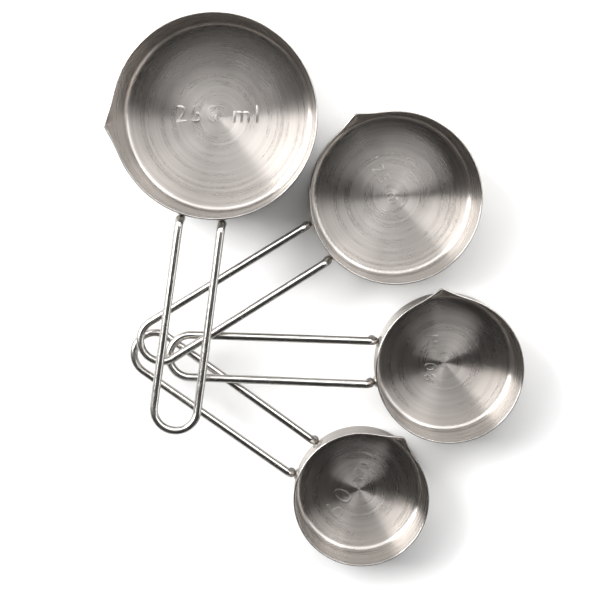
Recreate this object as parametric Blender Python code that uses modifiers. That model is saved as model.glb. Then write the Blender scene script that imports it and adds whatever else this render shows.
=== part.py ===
"""Measuring cup set: four steel cups, each a drawn bowl with a pouring spout and a welded wire handle.

Units are metres, +Z is up, and the cups stand open side up on the plane z = 0. The origin is the
centre of the set's bounding box, on that plane. Each cup's wire handle lies across the next smaller
cup's handle, so the handles are stepped down from the full cup to the quarter cup.
"""

import math

import bmesh
import bpy
from mathutils import Matrix, Vector

# --- driving dimensions -------------------------------------------------------------------------

WALL = 0.0008               # sheet thickness of every bowl
WALL_TAPER = 0.0005         # how much narrower the wall is at the floor than at the rim
FLOOR_FILLET = 0.0032       # inner radius between floor and wall
WIRE_RADIUS = 0.0018        # round wire, 3.6 mm across
WIRE_BEND = 0.0030          # centreline radius where a leg turns down to its foot
LOOP_RADIUS = 0.0094        # centreline radius of the handle's round end
CLEARANCE = 0.00025         # gap kept between neighbouring solids
WELD_THICKNESS = 0.0005     # weld metal between a foot and the wall
WELD_WIDTH = 0.0024
WELD_BEVEL = 0.00015
SPOUT_FLARE = 1.6           # the spout curves outwards towards the rim: 1 would be a straight slope
STEEL = (0.60, 0.585, 0.56)

BOWL_STEPS = 60             # sides of a turned bowl
FILLET_STEPS = 3
BEND_STEPS = 5
LOOP_STEPS = 16

# Each cup holds its volume level with the rim: 250, 125, 80 and 60 ml. "place" is the bowl's axis
# from the full cup's axis. "handle" and "spout" are directions in degrees from +X. "legs" is half
# the distance between the handle's legs at the bowl, and "offset" is how far the handle's centre
# line passes from the bowl's axis, to its left seen from the bowl. "reach" is from the rim to the
# outside of the handle's round end.
CUPS = (
    dict(name="full", radius=0.0436, height=0.0450, place=(0.0, 0.0),
         handle=-97.9, handle_z=0.0399, legs=0.0090, offset=-0.0001, reach=0.0940, foot=0.0120,
         spout=-175.0, spout_reach=0.0031, spout_depth=0.0200),
    dict(name="half", radius=0.0375, height=0.0309, place=(0.0775, -0.0349),
         handle=-148.2, handle_z=0.0264, legs=0.0090, offset=-0.0009, reach=0.0928, foot=0.0100,
         spout=116.0, spout_reach=0.0028, spout_depth=0.0160),
    dict(name="third", radius=0.0326, height=0.0266, place=(0.1019, -0.1104),
         handle=177.8, handle_z=0.0222, legs=0.0096, offset=-0.0015, reach=0.0925, foot=0.0090,
         spout=96.0, spout_reach=0.0038, spout_depth=0.0150),
    dict(name="quarter", radius=0.0301, height=0.0237, place=(0.0634, -0.1686),
         handle=144.3, handle_z=0.0181, legs=0.0090, offset=0.0007, reach=0.0928, foot=0.0080,
         spout=56.5, spout_reach=0.0036, spout_depth=0.0140),
)


# --- scene and material -------------------------------------------------------------------------

def clear_scene():
    for obj in list(bpy.data.objects):
        bpy.data.objects.remove(obj, do_unlink=True)


def new_collection(name):
    collection = bpy.data.collections.new(name)
    bpy.context.scene.collection.children.link(collection)
    return collection


def steel(name, roughness):
    material = bpy.data.materials.new(name)
    material.use_nodes = True
    shader = material.node_tree.nodes["Principled BSDF"]
    shader.inputs["Base Color"].default_value = (*STEEL, 1.0)
    shader.inputs["Metallic"].default_value = 1.0
    shader.inputs["Roughness"].default_value = roughness
    return material


def add_object(name, data, collection, parent):
    obj = bpy.data.objects.new(name, data)
    collection.objects.link(obj)
    obj.parent = parent
    return obj


def add_empty(name, collection, parent=None):
    empty = add_object(name, None, collection, parent)
    empty.empty_display_size = 0.01
    return empty


# --- bowl ---------------------------------------------------------------------------------------

def wall_radius(cup, z):
    """Outer radius of the bowl's plain wall at height z."""
    return cup["radius"] - WALL_TAPER * (1.0 - z / cup["height"])


def arc(centre_x, centre_z, radius, start, end, steps):
    """Points on an arc in the profile plane, angles in degrees from +X towards +Z."""
    points = []
    for i in range(steps + 1):
        angle = math.radians(start + (end - start) * i / steps)
        points.append((centre_x + radius * math.cos(angle), centre_z + radius * math.sin(angle)))
    return points


def wall_heights(cup):
    """Heights of the wall's rings, closer together where the spout is pressed out."""
    top = cup["height"]
    return [top - cup["spout_depth"] * share for share in (1.0, 0.62, 0.3)] + [top]


def bowl_profile(cup):
    """Half section: inner floor, inner fillet, up the inner wall, over the rim and down outside."""
    inner_corner = wall_radius(cup, WALL + FLOOR_FILLET) - WALL - FLOOR_FILLET
    corner_z = WALL + FLOOR_FILLET
    inner = [(0.0, WALL)]
    inner += arc(inner_corner, corner_z, FLOOR_FILLET, -90.0, 0.0, FILLET_STEPS)
    inner += [(wall_radius(cup, z) - WALL, z) for z in wall_heights(cup)]
    outer = [(wall_radius(cup, z), z) for z in reversed(wall_heights(cup))]
    outer += arc(inner_corner, corner_z, FLOOR_FILLET + WALL, 0.0, -90.0, FILLET_STEPS)
    outer.append((0.0, 0.0))
    return inner + outer


def turned_mesh(name, profile, collection):
    """The profile turned about Z by a Screw modifier, as a plain mesh."""
    mesh = bpy.data.meshes.new(name + "_profile")
    edges = [(i, i + 1) for i in range(len(profile) - 1)]
    mesh.from_pydata([(x, 0.0, z) for x, z in profile], edges, [])
    blank = add_object(name + "_blank", mesh, collection, None)
    screw = blank.modifiers.new("turn", "SCREW")
    screw.steps = BOWL_STEPS
    screw.render_steps = BOWL_STEPS
    screw.use_merge_vertices = True
    screw.merge_threshold = 0.00001
    bpy.context.view_layer.update()
    evaluated = blank.evaluated_get(bpy.context.evaluated_depsgraph_get())
    turned = bpy.data.meshes.new_from_object(evaluated)
    bpy.data.objects.remove(blank, do_unlink=True)
    turned.name = name
    return turned


def spout_push(cup, angle, z):
    """How far the pinched spout at angle 0 stands out of the wall: two flats that meet in a point."""
    radius = cup["radius"]
    half_width = math.acos(radius / (radius + cup["spout_reach"]))
    away = abs(angle)
    if away >= half_width:
        return 0.0
    stand_out = radius / math.cos(half_width - away) - radius
    share = max(0.0, 1.0 - (cup["height"] - z) / cup["spout_depth"])
    return stand_out * share ** SPOUT_FLARE


def press_spout(mesh, cup):
    for vertex in mesh.vertices:
        x, y, z = vertex.co
        reach = math.hypot(x, y)
        if reach > 0.5 * cup["radius"]:
            scale = 1.0 + spout_push(cup, math.atan2(y, x), z) / reach
            vertex.co = (x * scale, y * scale, z)


def add_bowl(cup, collection, parent):
    name = cup["name"] + "_cup_bowl"
    mesh = turned_mesh(name, bowl_profile(cup), collection)
    press_spout(mesh, cup)
    mesh.shade_smooth()
    mesh.set_sharp_from_angle(angle=math.radians(35.0))
    mesh.materials.clear()
    mesh.materials.append(steel(name + "_steel", 0.32))
    bowl = add_object(name, mesh, collection, parent)
    bowl.rotation_euler.z = math.radians(cup["spout"])
    return bowl


# --- handle -------------------------------------------------------------------------------------

def foot_reach(cup, z):
    """Distance from the bowl's axis to the centre of a wire foot at height z."""
    return wall_radius(cup, z) + 2.0 * CLEARANCE + WELD_THICKNESS + WIRE_RADIUS


def foot_point(cup, side, z):
    """Centre of a foot at height z, with the handle along +X; side is 1 on the left, -1 right."""
    y = side * cup["legs"] + cup["offset"]
    return Vector((math.sqrt(foot_reach(cup, z) ** 2 - y ** 2), y, z))


def half_handle(cup, side):
    """One half of the wire's centreline, from the foot's end to the middle of the round end."""
    points = [foot_point(cup, side, cup["handle_z"] - cup["foot"])]
    top = foot_point(cup, side, cup["handle_z"] - WIRE_BEND)
    for i in range(BEND_STEPS + 1):
        angle = math.radians(90.0 * i / BEND_STEPS)
        turn = Vector((WIRE_BEND * (1.0 - math.cos(angle)), 0.0, WIRE_BEND * math.sin(angle)))
        points.append(top + turn)
    loop_x = cup["radius"] + cup["reach"] - WIRE_RADIUS - LOOP_RADIUS
    for i in range(LOOP_STEPS // 2 + 1):
        angle = math.radians(90.0 - 180.0 * i / LOOP_STEPS)
        points.append(Vector((loop_x + LOOP_RADIUS * math.cos(angle),
                              side * LOOP_RADIUS * math.sin(angle) + cup["offset"],
                              cup["handle_z"])))
    return points


def add_handle(cup, collection, parent):
    name = cup["name"] + "_cup_handle"
    centreline = half_handle(cup, 1) + half_handle(cup, -1)[-2::-1]
    curve = bpy.data.curves.new(name, "CURVE")
    curve.dimensions = "3D"
    curve.bevel_depth = WIRE_RADIUS
    curve.bevel_resolution = 4
    curve.use_fill_caps = True
    spline = curve.splines.new("POLY")
    spline.points.add(len(centreline) - 1)
    for point, place in zip(spline.points, centreline):
        point.co = (*place, 1.0)
    spline.use_smooth = True
    curve.materials.append(steel(name + "_steel", 0.22))
    handle = add_object(name, curve, collection, parent)
    handle.rotation_euler.z = math.radians(cup["handle"])
    return handle


# --- welds --------------------------------------------------------------------------------------

def add_weld(cup, side, collection, parent):
    """Bead of weld metal between one foot and the wall, as tall as the straight part of the foot."""
    name = cup["name"] + ("_cup_weld_left" if side > 0 else "_cup_weld_right")
    height = cup["foot"] - WIRE_BEND - 2.0 * WELD_BEVEL
    middle_z = cup["handle_z"] - 0.5 * (WIRE_BEND + cup["foot"])
    foot = foot_point(cup, side, middle_z)
    reach = wall_radius(cup, middle_z) + CLEARANCE + 0.5 * WELD_THICKNESS
    bead = bmesh.new()
    bmesh.ops.create_cube(bead, size=1.0)
    size = Matrix.Diagonal((WELD_THICKNESS, WELD_WIDTH, height, 1.0))
    bmesh.ops.transform(bead, matrix=size, verts=bead.verts)
    mesh = bpy.data.meshes.new(name)
    bead.to_mesh(mesh)
    bead.free()
    mesh.materials.append(steel(name + "_steel", 0.45))
    weld = add_object(name, mesh, collection, parent)
    bevel = weld.modifiers.new("soft_edges", "BEVEL")
    bevel.width = WELD_BEVEL
    bevel.segments = 1
    heading = math.atan2(foot.y, foot.x) + math.radians(cup["handle"])
    lean = math.atan2(WALL_TAPER, cup["height"])
    weld.matrix_local = (Matrix.Rotation(heading, 4, "Z")
                         @ Matrix.Translation((reach, 0.0, middle_z))
                         @ Matrix.Rotation(lean, 4, "Y"))
    return weld


# --- assembly -----------------------------------------------------------------------------------

def centre_set(root, pieces):
    """Move the whole set so that its box is centred over the origin and stands on z = 0."""
    bpy.context.view_layer.update()
    graph = bpy.context.evaluated_depsgraph_get()
    corners = []
    for piece in pieces:
        solid = piece.evaluated_get(graph)
        mesh = solid.to_mesh()
        corners += [solid.matrix_world @ vertex.co for vertex in mesh.vertices]
        solid.to_mesh_clear()
    low = Vector(min(corner[axis] for corner in corners) for axis in range(3))
    high = Vector(max(corner[axis] for corner in corners) for axis in range(3))
    root.location = (-0.5 * (low.x + high.x), -0.5 * (low.y + high.y), -low.z)
    bpy.context.view_layer.update()


def main():
    clear_scene()
    collection = new_collection("measuring_cup_set")
    root = add_empty("set_origin", collection)
    pieces = []
    for cup in CUPS:
        axis = add_empty(cup["name"] + "_cup", collection, root)
        axis.location = (*cup["place"], 0.0)
        pieces.append(add_bowl(cup, collection, axis))
        pieces.append(add_handle(cup, collection, axis))
        pieces.append(add_weld(cup, 1, collection, axis))
        pieces.append(add_weld(cup, -1, collection, axis))
    centre_set(root, pieces)


main()
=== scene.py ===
import math

import bmesh
import bpy
from mathutils import Matrix, Vector


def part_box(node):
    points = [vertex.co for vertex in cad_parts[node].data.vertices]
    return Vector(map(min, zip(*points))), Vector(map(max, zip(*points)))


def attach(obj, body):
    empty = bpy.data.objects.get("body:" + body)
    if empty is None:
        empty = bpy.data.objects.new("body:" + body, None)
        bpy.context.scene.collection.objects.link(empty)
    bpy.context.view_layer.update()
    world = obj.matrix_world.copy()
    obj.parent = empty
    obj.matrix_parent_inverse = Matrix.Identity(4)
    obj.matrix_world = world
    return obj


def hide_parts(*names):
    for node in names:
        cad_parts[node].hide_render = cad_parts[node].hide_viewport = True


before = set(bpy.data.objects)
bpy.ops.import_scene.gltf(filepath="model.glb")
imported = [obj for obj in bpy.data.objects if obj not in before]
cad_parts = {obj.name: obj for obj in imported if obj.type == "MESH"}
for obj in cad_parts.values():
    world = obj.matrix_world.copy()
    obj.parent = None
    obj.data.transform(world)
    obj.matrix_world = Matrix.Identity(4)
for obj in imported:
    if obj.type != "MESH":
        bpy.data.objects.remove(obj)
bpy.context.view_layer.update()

# ------------------------------------------------------------------------------------------------
# Where each cup stands.
# A cup is a body of its own, and stands flat on the table. The axis of its bowl is read from the
# round base in the frame, and the bowl's radius and the spout's reach and heading from the rim.
# ------------------------------------------------------------------------------------------------

SAME_LEVEL = 1e-5
PLAIN_RIM_SHARE = 0.8  # of the rim's points, sorted by reach, those this far up are still off the spout


def survey_cup(name):
    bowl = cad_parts[name + "_cup_bowl"]
    low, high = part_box(name + "_cup_bowl")
    points = [vertex.co.copy() for vertex in bowl.data.vertices]
    base = [p for p in points if p.z < low.z + SAME_LEVEL]
    left, right = min(p.x for p in base), max(p.x for p in base)
    front, back = min(p.y for p in base), max(p.y for p in base)
    axis = Vector(((left + right) / 2, (front + back) / 2, low.z))

    rim = [p for p in points if p.z > high.z - SAME_LEVEL]
    rim.sort(key=lambda p: math.hypot(p.x - axis.x, p.y - axis.y))
    plain, tip = rim[int(len(rim) * PLAIN_RIM_SHARE)], rim[-1]
    radius = math.hypot(plain.x - axis.x, plain.y - axis.y)
    return {
        "name": name,
        "axis": axis,
        "height": high.z - low.z,
        "radius": radius,
        "spout_reach": math.hypot(tip.x - axis.x, tip.y - axis.y) - radius,
        "spout_heading": math.atan2(tip.y - axis.y, tip.x - axis.x),
    }


cups = [survey_cup(name) for name in ("full", "half", "third", "quarter")]

# ------------------------------------------------------------------------------------------------
# Bowls.
# Each is a disc of stainless sheet drawn into a plain cup with nearly upright walls, its rim cut
# level and a V-shaped spout pressed into it. Inside and outside are brushed on a lathe, so the
# grain runs in rings round the axis.
# ------------------------------------------------------------------------------------------------

SHEET = 0.0008
WALL_TAPER = 0.0005
FLOOR_FILLET = 0.0035
BOWL_SIDES = 320
CENTRE_RINGS = (0.00030, 0.00055, 0.00080)
FLOOR_RINGS = 26
FILLET_RINGS = 10
WALL_RINGS = 16


def wall_radius(cup, z):
    return cup["radius"] - WALL_TAPER * (1.0 - z / cup["height"])


def bowl_stations(cup):
    """Radius and height of each ring of the bowl's outside, from the floor's middle to the rim."""
    centre = CENTRE_RINGS[-1]
    corner = wall_radius(cup, FLOOR_FILLET) - FLOOR_FILLET
    stations = [(radius, 0.0) for radius in CENTRE_RINGS]
    for i in range(1, FLOOR_RINGS + 1):
        stations.append((centre + (corner - centre) * i / FLOOR_RINGS, 0.0))
    for i in range(1, FILLET_RINGS + 1):
        angle = math.radians(90.0 * i / FILLET_RINGS)
        stations.append((corner + FLOOR_FILLET * math.sin(angle),
                         FLOOR_FILLET * (1.0 - math.cos(angle))))
    for i in range(1, WALL_RINGS + 1):
        z = FLOOR_FILLET + (cup["height"] - FLOOR_FILLET) * i / WALL_RINGS
        stations.append((wall_radius(cup, z), z))
    return stations


def draw_bowl(cup):
    """The bowl's outside as an open sheet: a ring of edges drawn outwards and up, station by station."""
    stations = bowl_stations(cup)
    bpy.ops.object.select_all(action="DESELECT")
    bpy.ops.mesh.primitive_circle_add(vertices=BOWL_SIDES, radius=stations[0][0],
                                      fill_type="TRIFAN", location=cup["axis"])
    bowl = bpy.context.active_object
    bowl.name = cup["name"] + "_cup_bowl_shell"
    bpy.ops.object.mode_set(mode="EDIT")
    bpy.ops.mesh.select_mode(type="EDGE")
    bpy.ops.mesh.select_all(action="SELECT")
    bpy.ops.mesh.region_to_loop()
    for (radius, z), (next_radius, next_z) in zip(stations, stations[1:]):
        growth = next_radius / radius
        bpy.ops.mesh.extrude_edges_move(TRANSFORM_OT_translate={"value": (0.0, 0.0, next_z - z)})
        bpy.ops.transform.resize(value=(growth, growth, 1.0),
                                 center_override=cup["axis"] + Vector((0.0, 0.0, next_z)))
    bpy.ops.mesh.select_all(action="SELECT")
    bpy.ops.mesh.normals_make_consistent(inside=False)
    bpy.ops.object.mode_set(mode="OBJECT")
    bpy.ops.object.transform_apply(location=True, rotation=True, scale=True)
    return bowl


SPOUT_DEPTHS = {"full": 0.0200, "half": 0.0160, "third": 0.0150, "quarter": 0.0140}
SPOUT_TIP_ROUND = 0.030
SPOUT_PINCH = 1.4
SPOUT_FLARE = 1.6
SPOUT_CROWDING = 0.5  # how strongly the sides of the bowl's mesh are gathered towards the spout
SPOUT_INNER_SHARE = 0.5  # of the radius, inside which the floor is left alone


def press_spout(bowl, cup):
    """The rim's V: two near flats that meet in a rounded nose, dying out down the wall."""
    axis, radius, spout_reach = cup["axis"], cup["radius"], cup["spout_reach"]
    depth = SPOUT_DEPTHS[cup["name"]]
    half_width = math.acos(radius / (radius + spout_reach)) + SPOUT_TIP_ROUND
    for vertex in bowl.data.vertices:
        place = vertex.co - axis
        reach = math.hypot(place.x, place.y)
        angle = math.atan2(place.y, place.x) - cup["spout_heading"]
        angle = math.atan2(math.sin(angle), math.cos(angle))
        angle -= SPOUT_CROWDING * math.sin(angle)
        away = math.hypot(angle, SPOUT_TIP_ROUND)
        if reach > SPOUT_INNER_SHARE * radius and away < half_width:
            stand_out = radius / math.cos(half_width - away) - radius
            stand_out = spout_reach * (stand_out / spout_reach) ** SPOUT_PINCH
            share = max(0.0, 1.0 - (cup["height"] - place.z) / depth)
            reach += stand_out * share ** SPOUT_FLARE
        heading = angle + cup["spout_heading"]
        vertex.co = axis + Vector((reach * math.cos(heading), reach * math.sin(heading), place.z))


RIM_ROUND = 0.00034
RIM_ROUND_STEPS = 4
RIM_ANGLE = math.radians(50.0)


def apply_modifier(piece, modifier):
    bpy.context.view_layer.objects.active = piece
    bpy.ops.object.modifier_apply(modifier=modifier.name)


def thicken(bowl):
    """Gives the sheet its thickness, inwards, and breaks both edges of the rim."""
    solid = bowl.modifiers.new("sheet", "SOLIDIFY")
    solid.thickness = SHEET
    solid.offset = -1.0
    solid.use_even_offset = True
    apply_modifier(bowl, solid)
    edge = bowl.modifiers.new("rim_edge", "BEVEL")
    edge.limit_method = "ANGLE"
    edge.angle_limit = RIM_ANGLE
    edge.width = RIM_ROUND
    edge.segments = RIM_ROUND_STEPS
    edge.material = 1
    apply_modifier(bowl, edge)
    bpy.ops.object.select_all(action="DESELECT")
    bowl.select_set(True)
    bpy.ops.object.shade_smooth_by_angle(angle=RIM_ANGLE)


def add_node(tree, kind, **settings):
    node = tree.nodes.new(kind)
    for key, value in settings.items():
        setattr(node, key, value)
    return node


def math_node(tree, operation, first, second):
    node = add_node(tree, "ShaderNodeMath", operation=operation)
    for socket, value in zip(node.inputs, (first, second)):
        if isinstance(value, float):
            socket.default_value = value
        else:
            tree.links.new(value, socket)
    return node.outputs[0]


def blend(tree, *shares):
    """The weighted sum of several patterns, given as (pattern, weight) pairs."""
    parts = [math_node(tree, "MULTIPLY", pattern, weight) for pattern, weight in shares]
    total = parts.pop()
    while parts:
        total = math_node(tree, "ADD", parts.pop(), total)
    return total


def speckle(tree, vector, scale, detail):
    noise = add_node(tree, "ShaderNodeTexNoise")
    noise.inputs["Scale"].default_value = scale
    noise.inputs["Detail"].default_value = detail
    tree.links.new(vector, noise.inputs["Vector"])
    return noise


def colour_by(tree, pattern, dark, light):
    """Base colour from a pattern, each end given as (pattern value, colour); returns the ramp."""
    ramp = add_node(tree, "ShaderNodeValToRGB")
    for element, (position, colour) in zip(ramp.color_ramp.elements, (dark, light)):
        element.position = position
        element.color = colour + (1.0,)
    tree.links.new(pattern, ramp.inputs["Fac"])
    tree.links.new(ramp.outputs["Color"], tree.nodes["Principled BSDF"].inputs["Base Color"])
    return ramp.color_ramp


def roughen_by(tree, pattern, span, roughness):
    """Roughness between two values, as a pattern runs between the two ends of its span."""
    rough = add_node(tree, "ShaderNodeMapRange")
    rough.inputs["From Min"].default_value, rough.inputs["From Max"].default_value = span
    rough.inputs["To Min"].default_value, rough.inputs["To Max"].default_value = roughness
    tree.links.new(pattern, rough.inputs["Value"])
    tree.links.new(rough.outputs["Result"], tree.nodes["Principled BSDF"].inputs["Roughness"])


def emboss_by(tree, pattern, strength, distance):
    bump = add_node(tree, "ShaderNodeBump")
    bump.inputs["Strength"].default_value = strength
    bump.inputs["Distance"].default_value = distance
    tree.links.new(pattern, bump.inputs["Height"])
    tree.links.new(bump.outputs["Normal"], tree.nodes["Principled BSDF"].inputs["Normal"])


def new_steel(name, edge_tint=1.0):
    """A bare metal; an edge tint below 1 makes it reflect less where it is seen edge on."""
    material = bpy.data.materials.new(name)
    material.use_nodes = True
    shader = material.node_tree.nodes["Principled BSDF"]
    shader.inputs["Metallic"].default_value = 1.0
    shader.inputs["Specular Tint"].default_value = (edge_tint, edge_tint, edge_tint, 1.0)
    return material, material.node_tree


# lines per metre across the grain, how much a line changes on its way round, and how broken it is
FINE_GRAIN = (2400.0, 1.0, 1.0)
RING_GRAIN = (950.0, 0.35, 0.0)
BROAD_GRAIN = (260.0, 0.6, 1.0)
GRAIN_RAGGEDNESS = 0.6
WHOLE_SPAN = (0.0, 1.0)
MIDDLE_SPAN = (0.3, 0.7)  # where nearly all of a soft pattern's values lie
BRUSHED_ROUGHNESS = (0.25, 0.31)
BRUSHED_EDGE_TINT = 0.45
BRUSHED_DARK = (0.452, 0.425, 0.402)
BRUSHED_LIGHT = (0.552, 0.523, 0.496)
BUFFED_DARK = (0.38, 0.361, 0.342)
BUFFED_LIGHT = (0.52, 0.495, 0.47)
BUFFED_ROUGHNESS = (0.08, 0.17)
POLISHED_EDGE_TINT = 0.25


def turned_steel(name, axis):
    """Stainless brushed round the given axis: rings of fine grain, and light that fans out across it."""
    material, tree = new_steel(name, BRUSHED_EDGE_TINT)
    shader = tree.nodes["Principled BSDF"]
    links = tree.links
    place = add_node(tree, "ShaderNodeTexCoord")
    centred = add_node(tree, "ShaderNodeMapping")
    centred.inputs["Location"].default_value = (-axis.x, -axis.y, -axis.z)
    links.new(place.outputs["Object"], centred.inputs["Vector"])
    split = add_node(tree, "ShaderNodeSeparateXYZ")
    links.new(centred.outputs["Vector"], split.inputs["Vector"])
    flat = add_node(tree, "ShaderNodeCombineXYZ")
    links.new(split.outputs["X"], flat.inputs["X"])
    links.new(split.outputs["Y"], flat.inputs["Y"])
    reach = add_node(tree, "ShaderNodeVectorMath", operation="LENGTH")
    links.new(flat.outputs["Vector"], reach.inputs[0])
    outward = add_node(tree, "ShaderNodeVectorMath", operation="NORMALIZE")
    links.new(flat.outputs["Vector"], outward.inputs[0])
    along = add_node(tree, "ShaderNodeVectorMath", operation="CROSS_PRODUCT")
    along.inputs[0].default_value = (0.0, 0.0, 1.0)
    links.new(outward.outputs["Vector"], along.inputs[1])
    links.new(along.outputs["Vector"], shader.inputs["Tangent"])

    run = math_node(tree, "ADD", reach.outputs["Value"], split.outputs["Z"])
    heading = add_node(tree, "ShaderNodeSeparateXYZ")
    links.new(outward.outputs["Vector"], heading.inputs["Vector"])

    def grain(lines_per_metre, change, detail):
        where = add_node(tree, "ShaderNodeCombineXYZ")
        links.new(math_node(tree, "MULTIPLY", heading.outputs["X"], change), where.inputs["X"])
        links.new(math_node(tree, "MULTIPLY", heading.outputs["Y"], change), where.inputs["Y"])
        links.new(math_node(tree, "MULTIPLY", run, lines_per_metre), where.inputs["Z"])
        noise = speckle(tree, where.outputs["Vector"], 1.0, detail)
        noise.inputs["Roughness"].default_value = GRAIN_RAGGEDNESS
        return noise.outputs["Fac"]

    rings = grain(*RING_GRAIN)
    brushing = blend(tree, (grain(*FINE_GRAIN), 0.20), (rings, 0.50), (grain(*BROAD_GRAIN), 0.30))
    haze = speckle(tree, place.outputs["Object"], 45.0, 3.0)
    colour_by(tree, brushing, (0.34, BRUSHED_DARK), (0.66, BRUSHED_LIGHT))
    roughen_by(tree, blend(tree, (brushing, 0.6), (haze.outputs["Fac"], 0.4)), MIDDLE_SPAN,
               BRUSHED_ROUGHNESS)
    emboss_by(tree, rings, 0.02, 0.00002)
    shader.inputs["Anisotropic"].default_value = 1.0
    shader.inputs["Anisotropic Rotation"].default_value = 0.25
    return material


def polished_rim_steel(name):
    """The rim's rounded edge, buffed bright after trimming, with fine nicks left in it."""
    material, tree = new_steel(name, POLISHED_EDGE_TINT)
    place = add_node(tree, "ShaderNodeTexCoord")
    nicks = speckle(tree, place.outputs["Object"], 900.0, 3.0).outputs["Fac"]
    colour_by(tree, nicks, (0.3, BUFFED_DARK), (0.7, BUFFED_LIGHT))
    roughen_by(tree, nicks, WHOLE_SPAN, BUFFED_ROUGHNESS)
    return material


rim_steel = polished_rim_steel("bowl_rim_steel")
for cup in cups:
    bowl = draw_bowl(cup)
    cup["steel"] = turned_steel(cup["name"] + "_bowl_steel", cup["axis"])
    bowl.data.materials.append(cup["steel"])
    bowl.data.materials.append(rim_steel)
    press_spout(bowl, cup)
    thicken(bowl)
    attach(bowl, cup["name"] + "_cup")
    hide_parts(cup["name"] + "_cup_bowl")

# ------------------------------------------------------------------------------------------------
# Handles.
# Each is one length of round stainless wire, bent back on itself in a round end. Both of its feet
# turn down over a knee and lie against the outside of the bowl. The wire is polished.
# ------------------------------------------------------------------------------------------------

WIRE_RADIUS = 0.0018
WIRE_BEND = 0.0030
LOOP_RADIUS = 0.0094
FOOT_GAP = 0.0010
SAWN_EDGE = 0.00025
WIRE_SIDES = 28
FOOT_RINGS = 4
KNEE_RINGS = 12
LEG_RINGS = 24
LOOP_RINGS = 40
WIRE_CREASE = math.radians(40.0)
WIRE_DARK = (0.46, 0.443, 0.42)
WIRE_LIGHT = (0.63, 0.612, 0.585)
WIRE_ROUGHNESS = (0.17, 0.30)
# heading in degrees; z of the wire's middle; legs to either side of the handle's middle line, which
# lies offset from the bowl's axis; reach of the handle past the rim; foot from z down to its end
HANDLES = {
    "full": {"heading": -97.9, "z": 0.0399, "legs": 0.0090, "offset": -0.0001, "reach": 0.0940,
             "foot": 0.0120},
    "half": {"heading": -148.2, "z": 0.0264, "legs": 0.0090, "offset": -0.0009, "reach": 0.0928,
             "foot": 0.0100},
    "third": {"heading": 177.8, "z": 0.0222, "legs": 0.0096, "offset": -0.0015, "reach": 0.0925,
              "foot": 0.0090},
    "quarter": {"heading": 144.3, "z": 0.0181, "legs": 0.0090, "offset": 0.0007, "reach": 0.0928,
                "foot": 0.0080},
}


def foot_place(cup, handle, side, z):
    """Centre of a foot at height z, with the handle along +X from the bowl's axis."""
    y = side * handle["legs"] + handle["offset"]
    reach = wall_radius(cup, z) + FOOT_GAP + WIRE_RADIUS
    return Vector((math.sqrt(reach ** 2 - y ** 2), y, z))


def push_ring(shift):
    bpy.ops.mesh.extrude_edges_move(TRANSFORM_OT_translate={"value": tuple(shift)})


def run_straight(start, end, rings):
    for step in range(rings):
        push_ring((end - start) / rings)


def bend_wire(centre, turn_axis, degrees, rings):
    bpy.ops.mesh.spin(steps=rings, angle=math.radians(degrees), axis=turn_axis, center=centre)


def bend_handle(cup, handle):
    """Wire led up the wall, over a knee, out and round the end, and back down to its other foot."""
    z = handle["z"]
    low = foot_place(cup, handle, 1, z - handle["foot"] + SAWN_EDGE)
    knee = foot_place(cup, handle, 1, z - WIRE_BEND)
    other_knee = foot_place(cup, handle, -1, z - WIRE_BEND)
    other_low = Vector((low.x, other_knee.y, low.z))
    loop = Vector((cup["radius"] + handle["reach"] - WIRE_RADIUS - LOOP_RADIUS, handle["offset"], z))
    loop_side = Vector((0.0, LOOP_RADIUS, 0.0))
    bend_centre = Vector((WIRE_BEND, 0.0, 0.0))
    over_knee = Vector((WIRE_BEND, 0.0, WIRE_BEND))

    bpy.ops.object.select_all(action="DESELECT")
    bpy.ops.mesh.primitive_circle_add(vertices=WIRE_SIDES, radius=WIRE_RADIUS, fill_type="NOTHING",
                                      location=low)
    wire = bpy.context.active_object
    wire.name = cup["name"] + "_cup_handle_wire"
    bpy.ops.object.transform_apply(location=True, rotation=True, scale=True)
    bpy.ops.object.mode_set(mode="EDIT")
    bpy.ops.mesh.select_mode(type="EDGE")
    bpy.ops.mesh.select_all(action="SELECT")
    run_straight(low, knee, FOOT_RINGS)
    bend_wire(knee + bend_centre, (0.0, -1.0, 0.0), 90.0, KNEE_RINGS)
    run_straight(knee + over_knee, loop + loop_side, LEG_RINGS)
    bend_wire(loop, (0.0, 0.0, 1.0), 180.0, LOOP_RINGS)
    run_straight(loop - loop_side, other_knee + over_knee, LEG_RINGS)
    bend_wire(other_knee + bend_centre, (0.0, 1.0, 0.0), 90.0, KNEE_RINGS)
    run_straight(other_knee, other_low, FOOT_RINGS)
    bpy.ops.object.mode_set(mode="OBJECT")
    return wire


def close_end(wire, on_this_foot):
    """Breaks the sawn edge of the wire's open end on one foot, and closes it."""
    bpy.ops.mesh.select_all(action="DESELECT")
    mesh = bmesh.from_edit_mesh(wire.data)
    ring = [vertex for vertex in mesh.verts if vertex.is_boundary and on_this_foot(vertex.co)]
    centre = Vector((0.0, 0.0, 0.0))
    for vertex in ring:
        vertex.select = True
        centre += vertex.co / len(ring)
    mesh.select_flush(True)
    bmesh.update_edit_mesh(wire.data)
    push_ring((0.0, 0.0, -SAWN_EDGE))
    shrink = 1.0 - SAWN_EDGE / WIRE_RADIUS
    bpy.ops.transform.resize(value=(shrink, shrink, 1.0), center_override=centre)
    bpy.ops.mesh.edge_face_add()


def close_ends(wire, handle):
    middle = handle["offset"]
    bpy.ops.object.mode_set(mode="EDIT")
    close_end(wire, lambda co: co.y > middle)
    close_end(wire, lambda co: co.y < middle)
    bpy.ops.mesh.select_all(action="SELECT")
    bpy.ops.mesh.normals_make_consistent(inside=False)
    bpy.ops.object.mode_set(mode="OBJECT")


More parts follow.
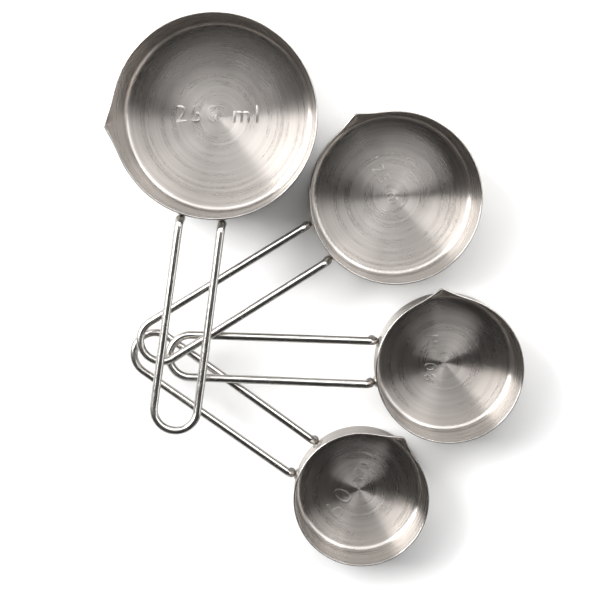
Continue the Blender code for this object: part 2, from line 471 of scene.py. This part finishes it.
def mark_run(wire, ends_start):
    """Stores how far along the wire each ring lies and how far round it each vertex is."""
    mesh = wire.data
    run = mesh.attributes.new("wire_run", "FLOAT_VECTOR", "POINT")
    along = 0.0
    last = None
    for start in range(0, ends_start, WIRE_SIDES):
        ring = [mesh.vertices[i].co for i in range(start, start + WIRE_SIDES)]
        centre = sum(ring, Vector((0.0, 0.0, 0.0))) / WIRE_SIDES
        if last is not None:
            along += (centre - last).length
        last = centre
        for i in range(WIRE_SIDES):
            turn = 2.0 * math.pi * i / WIRE_SIDES
            run.data[start + i].vector = (math.cos(turn), math.sin(turn), along)
    # the two sawn ends came last, and take the values of the ring beside them
    for i in range(ends_start, len(mesh.vertices)):
        beside = 0 if i < ends_start + WIRE_SIDES else ends_start - WIRE_SIDES
        run.data[i].vector = run.data[beside + (i - ends_start) % WIRE_SIDES].vector


def drawn_wire_steel(name):
    """Polished stainless wire, with faint drawing lines along it and duller patches from handling."""
    material, tree = new_steel(name, POLISHED_EDGE_TINT)
    run = add_node(tree, "ShaderNodeAttribute", attribute_name="wire_run")
    stretched = add_node(tree, "ShaderNodeVectorMath", operation="MULTIPLY")
    stretched.inputs[1].default_value = (3.5, 3.5, 90.0)
    tree.links.new(run.outputs["Vector"], stretched.inputs[0])
    lines = speckle(tree, stretched.outputs["Vector"], 1.0, 4.0).outputs["Fac"]
    place = add_node(tree, "ShaderNodeTexCoord")
    patches = speckle(tree, place.outputs["Object"], 260.0, 2.0).outputs["Fac"]
    colour_by(tree, lines, (0.30, WIRE_DARK), (0.70, WIRE_LIGHT))
    roughen_by(tree, blend(tree, (lines, 0.6), (patches, 0.4)), MIDDLE_SPAN, WIRE_ROUGHNESS)
    emboss_by(tree, lines, 0.3, 0.00003)
    return material


def turn_to_heading(piece, cup, handle):
    """Turns a piece made with its handle along +X to the handle's heading, on the cup's axis."""
    turn = Matrix.Rotation(math.radians(handle["heading"]), 4, "Z")
    shift = Matrix.Translation((cup["axis"].x, cup["axis"].y, 0.0))
    piece.data.transform(shift @ turn)


wire_steel = drawn_wire_steel("handle_wire_steel")
for cup in cups:
    handle = HANDLES[cup["name"]]
    wire = bend_handle(cup, handle)
    ends_start = len(wire.data.vertices)
    close_ends(wire, handle)
    mark_run(wire, ends_start)
    turn_to_heading(wire, cup, handle)
    bpy.ops.object.shade_smooth_by_angle(angle=WIRE_CREASE)
    wire.data.materials.append(wire_steel)
    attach(wire, cup["name"] + "_cup")
    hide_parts(cup["name"] + "_cup_handle")

# ------------------------------------------------------------------------------------------------
# Welds.
# A bead of weld metal behind each foot, run down between the wire and the wall and spreading a
# little to either side. It is duller than the steel it joins, rippled, and faintly tinted by heat.
# ------------------------------------------------------------------------------------------------

WELD_HALF_WIDTH = 0.0026
WELD_DEPTH = 0.0013
WELD_CLEARANCE = 0.00002  # between the wall's face and the bead's back
RIPPLE_PITCH = 0.0011
RIPPLE_SWELL = 0.10
WELD_SIDES = 40
WELD_RINGS = 24
WELD_CREASE = math.radians(50.0)
WELD_GREY = (0.30, 0.29, 0.30)
WELD_STRAW = (0.46, 0.42, 0.36)
WELD_LIGHT = (0.56, 0.54, 0.51)
WELD_ROUGHNESS = (0.30, 0.52)


def lay_weld(cup, handle, side):
    """A ball drawn out down the foot, cut off at the wall and curved to it, with ripples across."""
    height = handle["foot"] - WIRE_BEND
    middle_z = handle["z"] - 0.5 * (WIRE_BEND + handle["foot"])
    foot = foot_place(cup, handle, side, middle_z)
    face = wall_radius(cup, middle_z)
    bpy.ops.object.select_all(action="DESELECT")
    bpy.ops.mesh.primitive_uv_sphere_add(segments=WELD_SIDES, ring_count=WELD_RINGS, radius=1.0)
    bead = bpy.context.active_object
    bead.name = cup["name"] + ("_cup_weld_bead_left" if side > 0 else "_cup_weld_bead_right")
    bpy.ops.object.mode_set(mode="EDIT")
    bpy.ops.mesh.select_all(action="SELECT")
    bpy.ops.transform.resize(value=(WELD_DEPTH, WELD_HALF_WIDTH, 0.5 * height))
    bpy.ops.mesh.bisect(plane_co=(0.0, 0.0, 0.0), plane_no=(1.0, 0.0, 0.0), use_fill=True,
                        clear_inner=True)
    bpy.ops.mesh.select_all(action="SELECT")
    bpy.ops.mesh.normals_make_consistent(inside=False)
    bpy.ops.object.mode_set(mode="OBJECT")
    for vertex in bead.data.vertices:
        swell = RIPPLE_SWELL * math.cos(2.0 * math.pi * vertex.co.z / RIPPLE_PITCH)
        vertex.co.x *= 1.0 + swell
        vertex.co.y *= 1.0 + 0.5 * swell
        vertex.co.x += WELD_CLEARANCE - vertex.co.y ** 2 / (2.0 * face)
    heading = Matrix.Rotation(math.atan2(foot.y, foot.x), 4, "Z")
    bead.data.transform(heading @ Matrix.Translation((face, 0.0, middle_z)))
    turn_to_heading(bead, cup, handle)
    bpy.ops.object.shade_smooth_by_angle(angle=WELD_CREASE)
    return bead


def weld_steel(name):
    """Weld metal: dull, pebbled, with straw and grey heat tint in patches."""
    material, tree = new_steel(name)
    place = add_node(tree, "ShaderNodeTexCoord")
    tint = speckle(tree, place.outputs["Object"], 420.0, 3.0).outputs["Fac"]
    ramp = colour_by(tree, tint, (0.32, WELD_GREY), (0.68, WELD_LIGHT))
    ramp.elements.new(0.50).color = WELD_STRAW + (1.0,)
    pebbles = speckle(tree, place.outputs["Object"], 2200.0, 2.0).outputs["Fac"]
    roughen_by(tree, pebbles, WHOLE_SPAN, WELD_ROUGHNESS)
    emboss_by(tree, pebbles, 0.5, 0.00006)
    return material


bead_steel = weld_steel("weld_bead_steel")
for cup in cups:
    for side, word in ((1, "left"), (-1, "right")):
        bead = lay_weld(cup, HANDLES[cup["name"]], side)
        bead.data.materials.append(bead_steel)
        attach(bead, cup["name"] + "_cup")
        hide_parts(cup["name"] + "_cup_weld_" + word)

# ------------------------------------------------------------------------------------------------
# Capacity marks.
# Each bowl's floor carries its capacity, stamped from below before the bowl was brushed, so the
# figures stand up as faint rounded ridges in the same steel.
# ------------------------------------------------------------------------------------------------

MARKS = {
    "full": {"text": "250 ml", "size": 0.0112, "turn": 0.0, "place": (-0.0005, 0.0012),
             "rise": 0.000018},
    "half": {"text": "125 ml", "size": 0.0080, "turn": -60.0, "place": (-0.0030, 0.0060),
             "rise": 0.00004},
    "third": {"text": "80 ml", "size": 0.0080, "turn": 88.0, "place": (-0.0060, 0.0020),
              "rise": 0.00004},
    "quarter": {"text": "60 ml", "size": 0.0125, "turn": 60.0, "place": (-0.0040, 0.0020),
                "rise": 0.00006},
}
MARK_SPACING = 1.25
MERGE_DISTANCE = 1e-7
MARK_CREASE = math.radians(45.0)


def stamp_mark(cup, mark):
    """The figures as a thin rounded ridge, half sunk in the floor, with their middle at place."""
    bpy.ops.object.select_all(action="DESELECT")
    bpy.ops.object.text_add()
    text = bpy.context.active_object
    text.name = cup["name"] + "_cup_capacity_mark"
    text.data.body = mark["text"]
    text.data.size = mark["size"]
    text.data.space_character = MARK_SPACING
    text.data.align_x = "CENTER"
    text.data.align_y = "CENTER"
    text.data.extrude = mark["rise"]
    text.data.bevel_depth = mark["rise"]
    text.data.bevel_resolution = 2
    text.data.resolution_u = 6
    bpy.ops.object.convert(target="MESH")
    place = cup["axis"] + Vector((mark["place"][0], mark["place"][1], SHEET))
    turn = Matrix.Rotation(math.radians(mark["turn"]), 4, "Z")
    text.data.transform(Matrix.Translation(place) @ turn)
    bpy.ops.object.mode_set(mode="EDIT")
    bpy.ops.mesh.select_all(action="SELECT")
    bpy.ops.mesh.remove_doubles(threshold=MERGE_DISTANCE)
    bpy.ops.mesh.normals_make_consistent(inside=False)
    bpy.ops.object.mode_set(mode="OBJECT")
    bpy.ops.object.shade_smooth_by_angle(angle=MARK_CREASE)
    return text


for cup in cups:
    mark = stamp_mark(cup, MARKS[cup["name"]])
    mark.data.materials.append(cup["steel"])
    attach(mark, cup["name"] + "_cup")

# ------------------------------------------------------------------------------------------------
# Table.
# A wide matt white board, a hair below the cups. Beyond the lamps' reach it gives a little light of
# its own, so it stays pale to its far edge.
# ------------------------------------------------------------------------------------------------

TABLE_WIDTH = 40.0
TABLE_DROP = 0.0002
TABLE_WHITE = (0.905, 0.905, 0.90, 1.0)
GLOW_STARTS = 0.7
GLOW_FULL = 2.0
GLOW_STRENGTH = 0.95


def table_paint(name):
    paint = bpy.data.materials.new(name)
    paint.use_nodes = True
    tree = paint.node_tree
    shader = tree.nodes["Principled BSDF"]
    shader.inputs["Base Color"].default_value = TABLE_WHITE
    shader.inputs["Roughness"].default_value = 0.6
    shader.inputs["Emission Color"].default_value = (1.0, 1.0, 1.0, 1.0)
    place = add_node(tree, "ShaderNodeTexCoord")
    reach = add_node(tree, "ShaderNodeVectorMath", operation="LENGTH")
    tree.links.new(place.outputs["Object"], reach.inputs[0])
    glow = add_node(tree, "ShaderNodeMapRange")
    glow.inputs["From Min"].default_value = GLOW_STARTS
    glow.inputs["From Max"].default_value = GLOW_FULL
    glow.inputs["To Max"].default_value = GLOW_STRENGTH
    tree.links.new(reach.outputs["Value"], glow.inputs["Value"])
    tree.links.new(glow.outputs["Result"], shader.inputs["Emission Strength"])
    return paint


bpy.ops.object.select_all(action="DESELECT")
bpy.ops.mesh.primitive_plane_add(size=TABLE_WIDTH, location=(0.0, 0.0, -TABLE_DROP))
table = bpy.context.active_object
table.name = "table_top"
table.data.materials.append(table_paint("white_table"))

# ------------------------------------------------------------------------------------------------
# Light.
# One big soft key light low in the north-west and a bank of weaker panels round the north. Nothing
# hangs over the south, which leaves the steel dark where it faces there.
# ------------------------------------------------------------------------------------------------

LIGHT_DISTANCE = 1.25
# name, headings of the two sides, heights of the lower and upper edge, brightness
SOFTBOXES = (
    ("key_upper", 177.0, 129.0, 37.0, 50.0, 17.5),
    ("key_lower", 178.0, 132.0, 25.0, 37.0, 10.0),
    ("bank_1", 53.0, 6.0, 49.0, 62.0, 5.2),
    ("bank_2", 94.0, 53.0, 49.0, 62.0, 4.8),
    ("bank_3", 135.0, 94.0, 49.0, 62.0, 5.1),
    ("bank_4", 177.0, 135.0, 49.0, 62.0, 6.4),
    ("low_east", 38.0, 2.0, 37.0, 49.0, 1.8),
    ("low_north_east", 67.0, 38.0, 36.0, 49.0, 6.4),
    ("low_north", 102.0, 67.0, 37.0, 49.0, 3.0),
    ("low_north_west", 129.0, 102.0, 37.0, 49.0, 4.0),
    ("high_east", 48.0, 12.0, 62.0, 74.0, 2.1),
    ("high_north_east", 84.0, 48.0, 62.0, 74.0, 2.1),
    ("high_north_west", 156.0, 84.0, 62.0, 74.0, 1.4),
    ("top", 150.0, 30.0, 74.0, 84.0, 0.7),
    ("fill_north", 110.0, 60.0, 10.0, 24.0, 2.2),
    ("fill_east", 8.0, -26.0, 10.0, 24.0, 3.8),
)
ROOM_LIGHT = 0.055


def hang_softbox(name, west, east, low, high, radiance):
    """A panel facing the set, between two headings and two heights in degrees as the set sees it."""
    heading = math.radians(0.5 * (west + east))
    rise = math.radians(0.5 * (low + high))
    half_turn = math.radians(0.5 * (west - east))
    half_climb = math.radians(0.5 * (high - low))
    lamp = bpy.data.lights.new(name, "AREA")
    lamp.shape = "RECTANGLE"
    lamp.size = 2.0 * LIGHT_DISTANCE * math.cos(rise) * math.tan(half_turn)
    lamp.size_y = 2.0 * LIGHT_DISTANCE * math.tan(half_climb)
    lamp.energy = radiance * math.pi * lamp.size * lamp.size_y
    box = bpy.data.objects.new(name, lamp)
    bpy.context.scene.collection.objects.link(box)
    away = Vector((math.cos(heading) * math.cos(rise), math.sin(heading) * math.cos(rise),
                   math.sin(rise)))
    box.location = LIGHT_DISTANCE * away
    box.rotation_euler = away.to_track_quat("Z", "Y").to_euler()
    box.visible_camera = False


for softbox in SOFTBOXES:
    hang_softbox(*softbox)

room = bpy.data.worlds.new("studio")
room.use_nodes = True
backdrop = room.node_tree.nodes["Background"]
backdrop.inputs["Color"].default_value = (1.0, 1.0, 1.0, 1.0)
backdrop.inputs["Strength"].default_value = ROOM_LIGHT
bpy.context.scene.world = room

# ------------------------------------------------------------------------------------------------
# Camera.
# It looks down on the cups from three quarters of a metre up, a few degrees off the upright, with
# a long lens that keeps all four inside the frame.
# ------------------------------------------------------------------------------------------------

CAMERA_PLACE = (-0.0135, 0.0677, 0.7500)
CAMERA_TILT = (-5.49, -0.45)
CAMERA_LENS = 100.06
CAMERA_SENSOR = 36.0

camera_data = bpy.data.cameras.new("view")
camera_data.lens = CAMERA_LENS
camera_data.sensor_width = CAMERA_SENSOR
camera = bpy.data.objects.new("view", camera_data)
camera.location = CAMERA_PLACE
camera.rotation_euler = (math.radians(CAMERA_TILT[0]), math.radians(CAMERA_TILT[1]), 0.0)
bpy.context.scene.collection.objects.link(camera)
bpy.context.scene.camera = camera
bpy.context.scene.view_settings.view_transform = "Standard"
